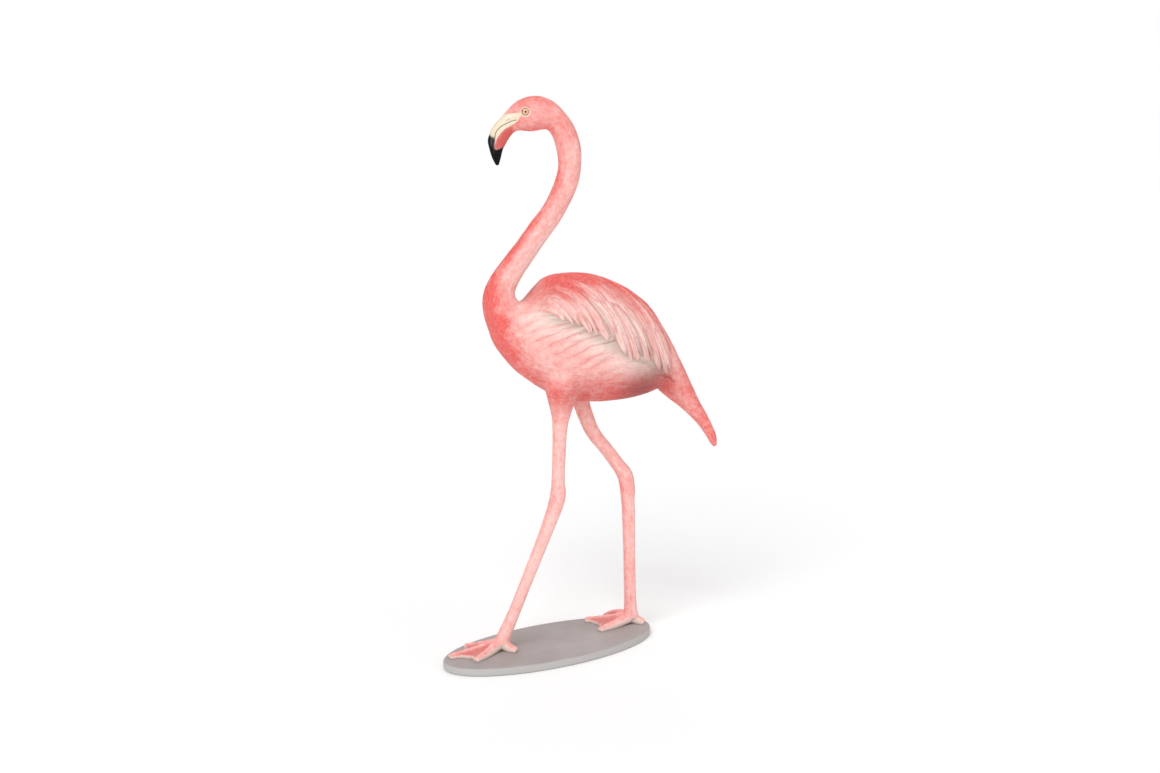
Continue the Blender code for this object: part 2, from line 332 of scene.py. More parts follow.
# Locks along the wing's edge, front to back: where each starts across the wing's flow, how far its
# tip ends above the edge, and how proud it stands; the low ones are the shaded gaps between tips.
edgeLocks = [
    (-150, 2, 0.6), (-122, -1, 0.7), (-101, -2, 0.8), (-88, 1, 0.8), (-74, -4, 0.9), (-58, 2, 0.8),
    (-44, 3, 0.9), (-22, 15, 0.2), (-7, -2, 1.3), (13, -9, 0.65), (27, -3, 1.1), (46, 9, 0.15),
    (61, 2, 0.95), (80, 11, 0.15), (92, -3, 1.25), (115, 4, 0.5), (121, -5, 1.1), (141, 6, 0.95),
    (158, 8, 0.75), (174, 13, 0.8), (192, 24, 0.5), (214, 24, 0.5),
]
deepGaps = (-44, 27, 61, 80, 121, 192)  # the borders that are cut deepest
# The crease that carries the wing's lower edge on to the rump: x and z.
rumpCrease = [(232, 640), (249, 641), (271, 638), (287, 631), (303, 619), (313, 611)]
flankShape = {
    "spacing": 30.0,  # mm from lock to lock
    "rise": 2.2,
    "fold": 1.0,
    "start": (-83.0, 766.0),  # where the first lock begins, under the neck
    "fall": 0.395,  # slope of the line that the flank's locks start from
    "sweep": [(-60, -24), (0, 0), (42, 17), (81, 27), (125, 30)],  # run and rise along a lock
    "depth": 120.0,  # mm below the wing's edge that the locks reach
    "creaseDepth": 3.0,
}
# Thin folds that run with the flow: mm across, mm along, how thin, and a seed.
folds = {"big": (12, 62, 0.085, 5), "fine": (7, 34, 0.14, 9), "scale": (10, 16, 0.10, 15),
         "flank": (12, 60, 0.085, 25)}

backLine = np.array([(s[0], s[1]) for s in bodySections + tailSections if s[0] > -55], float)
bellyLine = np.array([(s[2], s[3]) for s in bodySections + tailSections], float)
dropTable = np.linspace(0, 260, 261)
sweepFade = np.exp(-np.maximum(dropTable - 4, 0) / wingShape["sweepFall"])
sweepTable = (wingShape["sweepReach"] * (1 - sweepFade)
              + wingShape["sweepSlope"] * np.maximum(dropTable - wingShape["sweepStart"], 0))
runTable = lineRun(np.column_stack([dropTable, sweepTable]))


def wingFlow(x, y, z):  # across the feathers, along them, and down from the back
    drop = np.clip(np.interp(x, *backLine.T) - z, 0, dropTable[-1])
    across = x - np.interp(drop, dropTable, sweepTable)
    across = across - wingShape["ridgeSweep"] * np.minimum(np.abs(y), wingShape["ridgeWidth"])
    return across, np.interp(drop, dropTable, runTable), drop


def flankFlow(x, z):
    run, rise = np.array(flankShape["sweep"], float).T
    startX, startZ = flankShape["start"]
    ramp = rise + flankShape["fall"] * run
    offLine = z - startZ + flankShape["fall"] * (x - startX)
    along = np.interp(offLine, ramp, run) + np.maximum(offLine - ramp[-1], 0) * 1.2
    return x - startX - along, along


def foldLine(kind, across, along, side):  # 1 along the fold, 0 beside it
    wide, long, thin, seed = folds[kind]
    return bell(noiseAt(across / wide, along / long, side, seed) - 0.5, thin)


def featherRelief(x, y, z):
    across, along, drop = wingFlow(x, y, z)
    side = np.sign(y) * 40.0
    edgeZ = np.interp(x, *zip(*wingShape["edge"]))
    across = across + 7.0 * (noiseAt(across / 30, along / 70, side, 3) - 0.5)

    # Which lock it is, where across it the point lies, and how high above its tip.
    borders, tips, levels = np.array(edgeLocks, float).T
    index = np.clip(np.searchsorted(borders, across) - 1, 0, len(borders) - 2)
    place = np.clip((across - borders[index]) / (borders[index + 1] - borders[index]), 0, 1)
    level, arch = levels[index], 4 * place * (1 - place)
    crest = arch ** 0.62
    above = z - edgeZ - tips[index] - wingShape["tipLength"] * np.abs(2 * place - 1) ** 1.6
    high = np.maximum(above, 0)
    front, rear, top = wingShape["front"], wingShape["rear"], wingShape["top"]
    inside = ease(above, *wingShape["tipSoft"]) * ease(z, top, top - 14)
    inside = inside * within(x, front - 30, front + 50, rear - 10, rear)
    outside = 1 - inside

    # The wing's relief.
    overBack = ease(np.abs(y), 3, 18)
    bigFold, fineFold = foldLine("big", across, along, side), foldLine("fine", across, along, side)
    shoulder = ease(x, 130, 50) * ease(drop, 85, 45)
    shoulder = shoulder * np.maximum(ease(drop, 1, 12), overBack)
    scales = foldLine("scale", across, along, side) * shoulder
    # Thin painted highlight streaks along the locks.
    light = bell(noiseAt(across / 12, along / 62, side, 5) - 0.64, 0.07)
    swell = noiseAt(across / 15, along / 75, side, 6) - 0.5
    layer = noiseAt(across / 19, along / 46, side, 13)
    relief = wingShape["rise"] * (0.30 + 0.70 * level * np.exp(-high / 60))
    relief += wingShape["lockRise"] * level * crest * np.exp(-high / 55)
    relief *= ease(drop, 6, 50)
    fade = np.maximum(ease(drop, 1, 22), overBack) * (0.45 + 0.55 * ease(x, -20, 60))
    relief += fade * wingShape["swell"] * swell
    relief += fade * wingShape["overlap"] * ease(layer, 0.48, 0.54)
    relief -= fade * (wingShape["fold"] * bigFold + wingShape["fineFold"] * fineFold)
    relief -= wingShape["scale"] * scales
    border = (1 - arch) ** 4 * np.exp(-high / 34)
    # Darker paint in the carved folds, scales, lock borders and overlaps: painted shade in the
    # grooves.
    groove = np.maximum.reduce([0.9 * bigFold, 0.45 * fineFold, 0.85 * scales,
                                1.1 * border * ease(x, -40, 60),
                                0.6 * bell(layer - 0.485, 0.05)])
    hollow = ease(level, 0.7, 0.3) * np.exp(-high / 40)
    gapLine = np.max([bell(across - line, wingShape["gapWidth"]) for line in deepGaps], axis=0)
    gapLine = gapLine * np.exp(-high / 32)
    relief -= wingShape["gapDepth"] * gapLine

    # The flank's relief.
    flankAcross, flankAlong = flankFlow(x, z)
    waver = 16.0 * (noiseAt(flankAcross / 34, flankAlong / 55, side, 23) - 0.5)
    waver += 9.0 * (noiseAt(flankAcross / 14, flankAlong / 26, side, 27) - 0.5)
    flankAcross = flankAcross + waver
    lock = 1 - np.abs(2 * ((flankAcross / flankShape["spacing"]) % 1) - 1)
    broken = ease(noiseAt(flankAcross / 30, flankAlong / 34, side, 24), 0.32, 0.68)
    flankFold = foldLine("flank", flankAcross, flankAlong, side)
    flank = within(z, edgeZ - flankShape["depth"], edgeZ - 30, 800, 845)
    flank = flank * within(x, -105, -30, 115, 185) * outside
    flankRelief = flankShape["rise"] * np.sqrt(lock) * (0.45 + 0.55 * broken)
    flankRelief -= flankShape["fold"] * flankFold
    flankGroove = np.maximum(ease(lock, 0.34, 0.02) * (0.06 + 0.5 * broken), 0.35 * flankFold)

    # The painted shade under the wing's edge, and the crease where it ends at the rump, carved and
    # painted dark as shade.
    under = ease(z, edgeZ - 26, edgeZ + 4) * within(x, -60, 10, 262, 292) * outside
    offCrease = z - np.interp(x, *zip(*rumpCrease))
    taper = within(x, 228, 258, 286, 318) * ease(np.abs(y), 6, 20)
    creaseCut = bell(offCrease, np.where(offCrease > 0, 2.0, 5.0)) * taper
    crease = bell(offCrease, np.where(offCrease > 0, 1.6, 12.0)) * taper
    height = inside * relief + flank * flankRelief - flankShape["creaseDepth"] * creaseCut * outside
    # Painted highlight also on the locks' crests, and none in the grooves.
    light = np.maximum(light, crest ** 4 * np.exp(-high / 30)) * (1 - groove)
    return {"height": height, "inside": inside, "flank": flank, "drop": drop,
            "belowEdge": edgeZ - z, "across": across, "along": along,
            "flankAcross": flankAcross, "flankAlong": flankAlong, "flankLock": lock,
            "wingGroove": groove * inside, "flankGroove": flankGroove * flank,
            "hollow": hollow * inside, "gapLine": gapLine * inside, "light": light * inside,
            "under": under, "crease": crease * outside, "swell": swell}


# Legs and feet are tubes along their lines, with a sheet of web between the toes.

# Legs: x, y, z and radius along the middle line, from inside the body down to the foot.
legLines = {
    "left": [
        (30, -36, 655, 42), (28, -42, 622, 40), (27, -44, 590, 33), (26, -44, 565, 26),
        (24.5, -44, 543, 20), (23, -44, 520, 17.4), (21, -44, 470, 15.8), (19, -45, 425, 15.2),
        (18, -45, 392, 16.0), (18, -45, 366, 18.6), (12, -46, 340, 18.0), (-2, -47, 302, 16.3),
        (-25, -48, 245, 14.8), (-61, -50, 160, 14.0), (-91, -52, 89, 14.2), (-112, -53, 42, 16.0),
        (-122, -54, 16, 19.0),
    ],
    "right": [
        (80, 34, 650, 32), (89, 39, 602, 27), (99, 40, 555, 20), (125, 41, 490, 17.0),
        (160, 42, 444, 16.0), (189, 43, 404, 16.5), (207, 43, 376, 19.0), (213, 43, 345, 18.2),
        (215, 44, 310, 16.4), (217, 44, 273, 15.6), (219, 45, 197, 14.8), (221, 45, 106, 14.5),
        (223, 45, 48, 15.5), (225, 45, 16, 19.0),
    ],
}
# Feet: each toe's length and its angle outwards from the foot's own heading.
footShapes = {
    "left": {"at": (-124, -54), "side": -1, "turn": 12, "outerLift": 0,
             "outer": (97, 29), "middle": (131, 0), "inner": (86, -34), "hind": (42, 128)},
    "right": {"at": (226, 45), "side": 1, "turn": 20, "outerLift": 10,
              "outer": (76, 25), "middle": (115, 0), "inner": (101, -43), "hind": (32, 186)},
}
toeShape = {  # share of the toe's length, height and radius, mm
    "root": (0.0, 17.0, 13.0),
    "knuckle": (0.55, 7.0, 11.0),
    "tip": (1.0, 3.0, 8.0),
}
webShape = {
    "height": 10.0,
    "ridge": [(0, 26), (0.25, 20), (0.6, 15), (1, 11)],  # height along each toe
    "reach": 0.93,  # of the toes' length
    "sag": 0.90,  # how far out the rim still is between two toes
    "sink": 4.0,  # mm below the plate's top
    "steps": 8,
}
limbShape = {"sides": 28, "girth": 1.0}  # for every leg and toe
legSpines = {side: throughPoints(line, 60) for side, line in legLines.items()}


def buildLimbTree():
    tree, source = startTree("limbAlongLine", {"Sides": "Int", "Girth": "Float"})
    thick = addNode(tree, "GeometryNodeInputNamedAttribute", {"Name": "thickness"},
                    data_type="FLOAT")
    radius = addNode(tree, "ShaderNodeMath", {0: thick, 1: source["Girth"]}, operation="MULTIPLY")
    line = addNode(tree, "GeometryNodeMeshToCurve", {"Mesh": source["Geometry"]})
    line = addNode(tree, "GeometryNodeSetCurveRadius", {"Curve": line, "Radius": radius})
    ring = addNode(tree, "GeometryNodeCurvePrimitiveCircle",
                   {"Resolution": source["Sides"], "Radius": 1.0})
    tube = addNode(tree, "GeometryNodeCurveToMesh",
                   {"Curve": line, "Profile Curve": ring, "Scale": radius, "Fill Caps": True})
    return endTree(tree, source, tube)


def limb(tree, finish, points, name):
    line = throughPoints(points, 6)
    mesh = bpy.data.meshes.new(name)
    mesh.from_pydata([tuple(p[:3]) for p in line], [(i, i + 1) for i in range(len(line) - 1)], [])
    addLayer(mesh, "thickness", line[:, 3])
    piece = newObject(name, mesh)
    growBy(tree, piece, {**limbShape, "finish": finish})
    return outwards(plainMesh(piece, name), 1e-3)


def toePoint(foot, length, angle):
    heading = math.radians((angle + foot["turn"]) * foot["side"])
    return foot["at"][0] - length * math.cos(heading), foot["at"][1] + length * math.sin(heading)


def toeLine(foot, toe):
    length, angle = foot[toe]
    row = []
    for key, (share, height, radius) in toeShape.items():
        lift = foot["outerLift"] if (toe, key) == ("outer", "knuckle") else 0
        row.append((*toePoint(foot, length * share, angle), height + lift, radius))
    return row


def webMesh(foot, name):  # a sheet that rises to each toe and sinks between them
    steps, bottom = webShape["steps"], -webShape["sink"]
    bm = bmesh.new()
    heart = [bm.verts.new((*foot["at"], z)) for z in (webShape["ridge"][0][1], bottom)]
    columns = []
    for one, two in (("outer", "middle"), ("middle", "inner")):
        (length, angle), (after, afterAngle) = foot[one], foot[two]
        chord = math.cos(math.radians((angle - afterAngle) / 2)) * webShape["sag"]
        for t in np.arange(steps + (two == "inner")) / steps:
            arch = math.sin(math.pi * t)
            lift = foot["outerLift"] * (1 - t) if one == "outer" else 0
            reach = (length + (after - length) * t) * (1 - (1 - chord) * arch) * webShape["reach"]
            column = ([], [])
            for share in np.arange(1, steps + 1) / steps:
                place = toePoint(foot, reach * share, angle + (afterAngle - angle) * t)
                ridgeTop = np.interp(share, *zip(*webShape["ridge"]))
                ridgeTop += lift * math.sin(math.pi * min(share / 1.1, 1)) ** 1.5
                sunk = arch ** 0.6 * ease(share, 0.05, 0.4)
                height = ridgeTop * (1 - sunk) + webShape["height"] * sunk
                column[0].append(bm.verts.new((*place, height)))
                column[1].append(bm.verts.new((*place, bottom)))
            columns.append(column)
    rims = []
    for level in (0, 1):
        rows = [column[level] for column in columns]
        for one, two in zip(rows, rows[1:]):
            bm.faces.new((heart[level], one[0], two[0]))
            for r in range(steps - 1):
                bm.faces.new((one[r], one[r + 1], two[r + 1], two[r]))
        rims.append([heart[level]] + rows[0] + [row[-1] for row in rows[1:]] + rows[-1][-2::-1])
    top, base = rims
    for i in range(len(top)):
        n = (i + 1) % len(top)
        bm.faces.new((top[i], top[n], base[n], base[i]))
    mesh = bpy.data.meshes.new(name)
    bm.to_mesh(mesh)
    bm.free()
    return outwards(mesh)


def rootMask(points):  # 1 where the legs grow out of the body
    mask = np.zeros(len(points))
    which = np.nonzero((points[:, 2] > 520) & (points[:, 2] < 660))[0]
    level = within(points[which, 2], 530, 562, 612, 650)
    for line in legSpines.values():
        _, gap = nearestOf(points[which], line)
        mask[which] = np.maximum(mask[which], level * ease(gap, 74, 48))
    return mask


def footHollow(x, y, z):  # 1 in the webs between the toes, 0 on the toes and around them
    hollow = np.zeros(len(x))
    for foot in footShapes.values():
        dx, dy = foot["at"][0] - x, (y - foot["at"][1]) * foot["side"]
        away = np.hypot(dx, dy)
        angle = np.degrees(np.arctan2(dy, dx)) - foot["turn"]
        web = ease(away, 20, 44) * within(z, 6.5, 9, 24, 34)
        web = web * (angle < foot["outer"][1]) * (angle > foot["inner"][1])
        for toe in ("outer", "middle", "inner"):
            web = web * ease(np.abs(angle - foot[toe][1]) * np.pi / 180 * away, 3.5, 8)
        hollow = np.where((y < 0) == (foot["side"] < 0), web, hollow)
    return hollow


def footRelief(x, y, z):
    hollow = footHollow(x, y, z)
    webFolds = noiseAt(x / 9, y / 2.6, z * 0, 31) - 0.5
    joints = np.cos(np.hypot(x, y) / 17 * 2 * np.pi)
    return (1.8 * webFolds - 1.2) * hollow + 0.35 * joints * within(z, 6, 9, 22, 36) * (1 - hollow)


# The head's marks in side view, from the near side.

headMarks = {
    "gape": [(-69, 1228.6), (-79.5, 1226.1), (-90.7, 1220.8), (-102, 1214.7), (-111.7, 1205.5),
             (-115.8, 1196.3), (-117.5, 1183.9), (-119.3, 1171.5), (-118, 1155)],
    "creamPatch": [(-93, 1241), (-82, 1243), (-69, 1244), (-57, 1245), (-56, 1240), (-62, 1234.5),
                   (-65.5, 1227), (-72, 1221.4), (-83, 1214.6), (-94.5, 1208.5), (-104, 1199),
                   (-110.7, 1190), (-113.5, 1184), (-117, 1175), (-119, 1186), (-123, 1186),
                   (-150, 1186), (-150, 1250), (-102, 1250)],
    "blackTip": [(-150, 1202), (-131, 1198), (-125, 1193), (-120, 1190), (-118, 1192),
                 (-117.5, 1184), (-118, 1172), (-115.3, 1163.5), (-108, 1165), (-98, 1168),
                 (-80, 1172), (-80, 1100), (-150, 1100)],
    "redJaw": [(-118, 1172), (-114, 1184), (-110.7, 1190), (-104, 1199), (-94.5, 1208.5),
               (-83, 1214.6), (-76, 1209), (-74, 1198), (-80, 1168), (-98, 1166), (-108, 1164),
               (-116, 1162)],
}
roundMarks = {name: throughPoints(line, 4).tolist() for name, line in headMarks.items()}
nostrilLine = [(-84.2, 1231.2), (-91.5, 1227.0)]
eyeX, eyeZ, eyeRadius = -49.5, 1246.7, 8.4
# Cuts and beads: mm from their line or from the eye, mm wide, and how far they stand out.
gapeCut = (0, 1.1, -1.3)
nostrilCut, nostrilLip = (0, 1.2, -1.3), (0, 3.0, 0.5)
eyeGroove, eyeLid = (9.4, 2.2, -1.6), (13.0, 2.6, 1.1)
eyeDome, eyeSink = 2.2, 0.6
patchSteps = {"creamPatch": (-0.6, 0.6, 0.5), "redJaw": (-2, 6, 1.2)}  # eased from, to, and by
# Brow, lores and cheek: x and z from the eye, spread in x and z, and how far they stand out.
facePads = [(3, 15, 20, 6, 1.4), (-16, -6, 12, 7, -1.2), (12, -22, 17, 12, 1.6)]


def bead(distance, shape):
    away, width, rise = shape
    return rise * bell(distance - away, width)


def headRelief(x, y, z):
    gape, _ = lineDistance(x, z, roundMarks["gape"])
    nostril, _ = lineDistance(x, z, nostrilLine)
    away = np.hypot(x - eyeX, z - eyeZ)
    height = bead(gape, gapeCut) + bead(nostril, nostrilCut) + bead(nostril, nostrilLip)
    height += bead(away, eyeGroove) + bead(away, eyeLid) * ease(z, eyeZ - 8, eyeZ + 6)
    for name, (low, high, rise) in patchSteps.items():
        height += rise * ease(patchDepth(x, z, roundMarks[name]), low, high)
    dome = np.sqrt(np.clip(1 - (away / eyeRadius) ** 2, 0, 1))
    height += eyeDome * dome * ease(eyeRadius - away, 0, 1.0) - eyeSink * (away < eyeRadius)
    for padX, padZ, wide, tall, rise in facePads:
        height += rise * bell(x - eyeX - padX, wide) * bell(z - eyeZ - padZ, tall)
    return height * ease(np.abs(y), 1.5, 6.0) * ease(z, 1120, 1135)


# Fusing the forms, and carving them.

def fuseForms(meshes):
    bm = bmesh.new()
    for mesh in meshes:
        bm.from_mesh(mesh)
        bpy.data.meshes.remove(mesh)
    joined = bpy.data.meshes.new("forms")
    bm.to_mesh(joined)
    bm.free()
    piece = newObject("forms", joined)
    skin = piece.modifiers.new("skin", "REMESH")
    skin.mode = "VOXEL"
    skin.voxel_size = birdSizes["gridSize"]
    return plainMesh(piece, "skin")


def relax(mesh, rounds, keep=1.0):
    edges = np.empty(len(mesh.edges) * 2, np.int64)
    mesh.edges.foreach_get("vertices", edges)
    a, b = edges.reshape(-1, 2).T
    points = readPoints(mesh)
    total = len(points)
    count = np.maximum(np.bincount(a, minlength=total) + np.bincount(b, minlength=total), 1)
    for _ in range(rounds):
        middle = [(np.bincount(a, column[b], total) + np.bincount(b, column[a], total)) / count
                  for column in points.T]
        points = points + 0.5 * ((np.stack(middle) - points.T) * keep).T
    writePoints(mesh, points)


def partFields(points):  # where neck and legs are, and how the surface runs on them
    x, y, z = points.T
    run, up, side, half = loftFlow(points)
    legMask = np.zeros(len(x))
    legFlow = np.zeros((len(x), 3))
    for leg, line in legSpines.items():
        which = np.nonzero(((y < 0) == (leg == "left")) & (z < 640) & (x < 300))[0]
        index, gap = nearestOf(points[which], line)
        nearest = line[index]
        mask = ease(gap / nearest[:, 3], 1.5, 1.1) * ease(z[which], 610, 545)
        legMask[which] = np.where(z[which] < 60, 1.0, mask)
        along = lineRun(line[:, :3])[index]
        legFlow[which] = np.column_stack([points[which, :2] - nearest[:, :2], along])
    return {"run": run, "front": -up, "loftFlow": np.stack([up * half, side * half, run], 1),
            "neck": ease(z + 0.35 * x, 800, 880) * ease(-x + 0.5 * (z - 840), 10, 40),
            "legs": legMask, "legFlow": legFlow, "body": (1 - legMask) * ease(z, 520, 560)}


furTufts = [((6, 6, 40), 1.3, 41), ((2.6, 2.6, 16), 0.8, 43)]  # mm each way, mm deep, and a seed


def carve(mesh):
    points = readPoints(mesh)
    x, y, z = points.T
    fields = partFields(points)
    feathers = featherRelief(x, y, z)
    body, leg = fields["body"], fields["legFlow"]
    fur = sum(depth * (softNoise(fields["loftFlow"] / size, seed) - 0.5)
              for size, depth, seed in furTufts)
    bare = ease(patchDepth(x, z, roundMarks["creamPatch"]), -2, 1)
    bare = np.maximum(bare, ease(fields["run"], 95, 60))
    furry = body * (1 - feathers["inside"]) * (1 - feathers["flank"]) * (1 - bare)
    scars = noiseAt(leg[:, 0] / 4, leg[:, 1] / 4, leg[:, 2] / 40, 53) - 0.5
    height = feathers["height"] * body + fur * furry * (1 - 0.4 * ease(z, 1180, 1200))
    height += scars * fields["legs"] * ease(z, 30, 60)
    height += headRelief(x, y, z) + footRelief(x, y, z)
    writePoints(mesh, points + readPoints(mesh, "normal") * height[:, None])


def cutHeadFiner(mesh):
    bm = bmesh.new()
    bm.from_mesh(mesh)
    behind, under = birdSizes["fineHead"]
    near = [e for e in bm.edges if all(v.co.x < behind and v.co.z > under for v in e.verts)]
    bmesh.ops.subdivide_edges(bm, edges=near, cuts=1, use_grid_fill=True)
    bm.to_mesh(mesh)
    bm.free()


# Where each paint goes, as layers on the bird's points.

def addLayer(mesh, name, values):
    kind, key = ("FLOAT", "value") if values.ndim == 1 else ("FLOAT_VECTOR", "vector")
    layer = mesh.attributes.new(name, kind, "POINT")
    layer.data.foreach_set(key, np.ascontiguousarray(values, np.float32).ravel())


def coralField(x, y, z, fields, feathers, zones):  # how red the pink is, before the brush
    front, legs, inside = fields["front"], fields["legs"], feathers["inside"]
    lowNeck, backBand, belly, tail, blotch, small = zones.values()
    # Coral at the neck's front and back edges, paler between: partly the paint's own and partly
    # painted shade towards the edges.
    neckCoral = 0.25 + (0.42 + 0.34 * lowNeck) * ease(front, 0.34, 0.98)
    neckCoral += 0.34 * ease(-front, 0.5, 1.0)
    neckCoral -= 0.22 * lowNeck * ease(-front, -0.1, 0.5)
    headCoral = 0.50 + 0.26 * ease(z, 1250, 1277) + 0.35 * ease(front, 0.5, 1.0)
    headCoral += 0.20 * bell(x + 58, 13) * bell(z - 1263, 8)
    headCoral -= 0.14 * bell(x + 5, 25) * bell(z - 1238, 16)
    headPart = ease(z, 1165, 1210)
    neckCoral = neckCoral * (1 - headPart) + headCoral * headPart
    shoulder = ease(x, 130, 40) * ease(feathers["drop"], 70, 26)
    wingCoral = 0.18 + 0.85 * backBand + 0.62 * shoulder + 0.25 * ease(x, 272, 296)
    # Less coral on the swells' crests and more in their dips: painted highlight and painted shade
    # that follow the relief.
    wingCoral = np.maximum(wingCoral - 0.8 * feathers["swell"], 0.55 * backBand)
    breast = -x + 26 * (blotch - 0.5) + 16 * (small - 0.5)
    breast = ease(breast, 60, 140) * ease(z, 920, 850)
    # Coral deepens towards the belly's underside: partly the paint's own and partly painted shade
    # under the body.
    flankCoral = 0.14 + (0.66 + 0.25 * ease(x, 60, 190)) * belly + 0.95 * breast
    flankCoral += 0.20 * ease(x, 0, -90) * ease(z, 760, 700)
    flankCoral += 0.7 * (1 - inside) * backBand
    # More coral in the valleys between the flank's locks: painted shade in the recesses.
    flankCoral += 0.42 * feathers["flank"] * ease(feathers["flankLock"], 0.6, 0)
    tailCoral = 0.60 + 0.2 * ease(z + 1.5 * x, 1090, 1010) + 0.22 * backBand
    coral = (inside * wingCoral + (1 - inside) * flankCoral) * (1 - tail) + tailCoral * tail
    legCoral = 0.05 + 0.12 * bell(z - 355, 30) + 0.12 * ease(z, 440, 560)
    legCoral += 0.14 * (y > 0) * ease(z, 520, 430)
    legCoral += 0.24 * ease(np.abs(fields["legFlow"][:, 0]) / 17, 0.45, 1.0) * legs
    footPart = ease(z, 40, 24)
    legCoral = legCoral * (1 - footPart) + 0.30 * footPart
    wideNeck = ease(z + 0.35 * x, 745, 890) * ease(-x + 0.5 * (z - 840), 0, 50)
    coral = coral * (1 - wideNeck) + neckCoral * wideNeck
    coral = coral * (1 - legs) + legCoral * legs
    return np.clip(coral * (0.75 + 0.5 * blotch) + 0.20 * (small - 0.5), 0, 1.1)


def headLayers(x, z):
    onHead = (z > 1110) & (x < 0)
    gap, run = lineDistance(x, z, roundMarks["gape"])
    nostril, _ = lineDistance(x, z, nostrilLine)
    gapeX, gapeZ = zip(*headMarks["gape"])
    belowGape = z < np.interp(-x, [-value for value in gapeX], gapeZ)
    comb = bell(gap - 5.2, 1.5) * belowGape * within(run, 4, 12, 56, 64)
    layers = {name: np.where(onHead, patchDepth(x, z, roundMarks[name]), -50.0)
              for name in ("creamPatch", "blackTip", "redJaw")}
    layers["gapeLine"] = np.where(onHead, gap, 50.0)
    layers["nostrilLine"] = np.where(onHead, nostril, 50.0)
    layers["eyeAway"] = np.where(onHead, np.hypot(x - eyeX, z - eyeZ), 99.0)
    layers["comb"] = comb * onHead * (1 - np.abs(2 * ((run / 3.2) % 1) - 1))
    # A painted highlight streak on the black bill tip.
    layers["sheen"] = bell(x + 124, 2.0) * bell(z - 1182, 10) * onHead
    return layers


def paintFields(mesh):
    points = readPoints(mesh)
    x, y, z = points.T
    fields = partFields(points)
    feathers = featherRelief(x, y, z)
    legs, neck, body, inside = fields["legs"], fields["neck"], fields["body"], feathers["inside"]
    drop, below, flank = feathers["drop"], feathers["belowEdge"], feathers["flank"]
    blotch, small = noiseAt(x / 26, y / 26, z / 26, 61), noiseAt(x / 10, y / 10, z / 10, 62)
    lowNeck = ease(z, 1050, 900)
    fromBack, _ = lineDistance(x, z, backLine.tolist())
    fromBack = fromBack + 13 * (blotch - 0.5) + 9 * (small - 0.5)
    fromMiddle = ease(np.abs(y) / np.clip(30 + 0.2 * (300 - x), 22, 70), 0.35, 1.25)
    backBand = ease(fromBack, 26, 1) * (1 - 0.55 * fromMiddle * (blotch + 0.35))
    overBelly = z - np.interp(x, *bellyLine.T)
    belly = ease(overBelly / (68 + 37 * ease(x, -10, 80)), 1, 0.1)
    tail = ease(x - (z - 600) * 0.35, 278, 312)
    zones = {"lowNeck": lowNeck, "backBand": backBand, "belly": belly, "tail": tail,
             "blotch": blotch, "small": small}

    wingCream = 0.70 * inside * ease(drop, 30, 70) * within(x, 10, 90, 262, 292)
    flankCream = flank * ease(below, 80, 12)
    rearFlank = 0.85 * (1 - inside) * ease(below, 78, 30) * within(x, 60, 150, 235, 285)
    cream = np.maximum.reduce([wingCream, flankCream, rearFlank * (1 - belly)])
    cream = cream * body * (1 - tail) * (1 - neck)
    # Cream on the back of the lower neck: partly the paint's own pale band and partly a painted
    # highlight.
    cream = np.maximum(cream, neck * lowNeck * ease(-fields["front"], 0.1, 0.7) * 0.95)
    # Painted shade in grey: under the wing's edge, in the hollows of the low locks and low on the
    # rear flank.
    shade = np.maximum(0.9 * feathers["under"], 1.1 * feathers["hollow"] * ease(x, 40, 90))
    shade = np.maximum(shade, 0.5 * rearFlank * ease(x, 150, 200) * ease(below, 60, 10))
    onTop = 0.45 + 0.55 * ease(drop, 4, 26)
    rumpShade = bell(x - 222, 68) * ease(overBelly, 108, 30) * ease(np.abs(y), 0, 25)
    bellyShade = belly * ease(x, -70, 60) * (1 - inside) * (1 - tail)
    webHollow = footHollow(x, y, z) * legs
    steep = ease(readPoints(mesh, "normal")[:, 2], 0.75, 0.25)
    layers = {
        "coral": coralField(x, y, z, fields, feathers, zones),
        "cream": np.clip(cream * (0.8 + 0.5 * (blotch - 0.5)), 0, 1),
        "shade": np.clip(shade * body * (1 - neck) * (1 - tail), 0, 1),
        "groove": np.clip((feathers["wingGroove"] * onTop + feathers["flankGroove"]) * body, 0, 1),
        # Painted shade in dark red: in the crease under the wing's end, under the rump, along the
        # belly and in the deepest gaps between tips.
        "crease": np.maximum.reduce([0.75 * feathers["crease"], 0.95 * rumpShade, 0.27 * bellyShade,
                                     0.6 * feathers["gapLine"]]) * body,
        "light": feathers["light"] * body * ease(drop, 12, 60),
        "wingPart": inside * body,
        "flankPart": flank,
        "webHollow": webHollow,
        "footPale": steep * ease(z, 24, 14) * (1 - webHollow) * legs,
        "wingFlow": np.stack([feathers["across"], feathers["along"], y * 0.15], 1),
        "flankFlow": np.stack([feathers["flankAcross"], feathers["flankAlong"], y * 0.15], 1),
        "limbFlow": fields["loftFlow"] * (1 - legs)[:, None] + fields["legFlow"] * legs[:, None],
    }
    for name, values in {**layers, **headLayers(x, z)}.items():
        addLayer(mesh, name, values)


# The bird's paint.

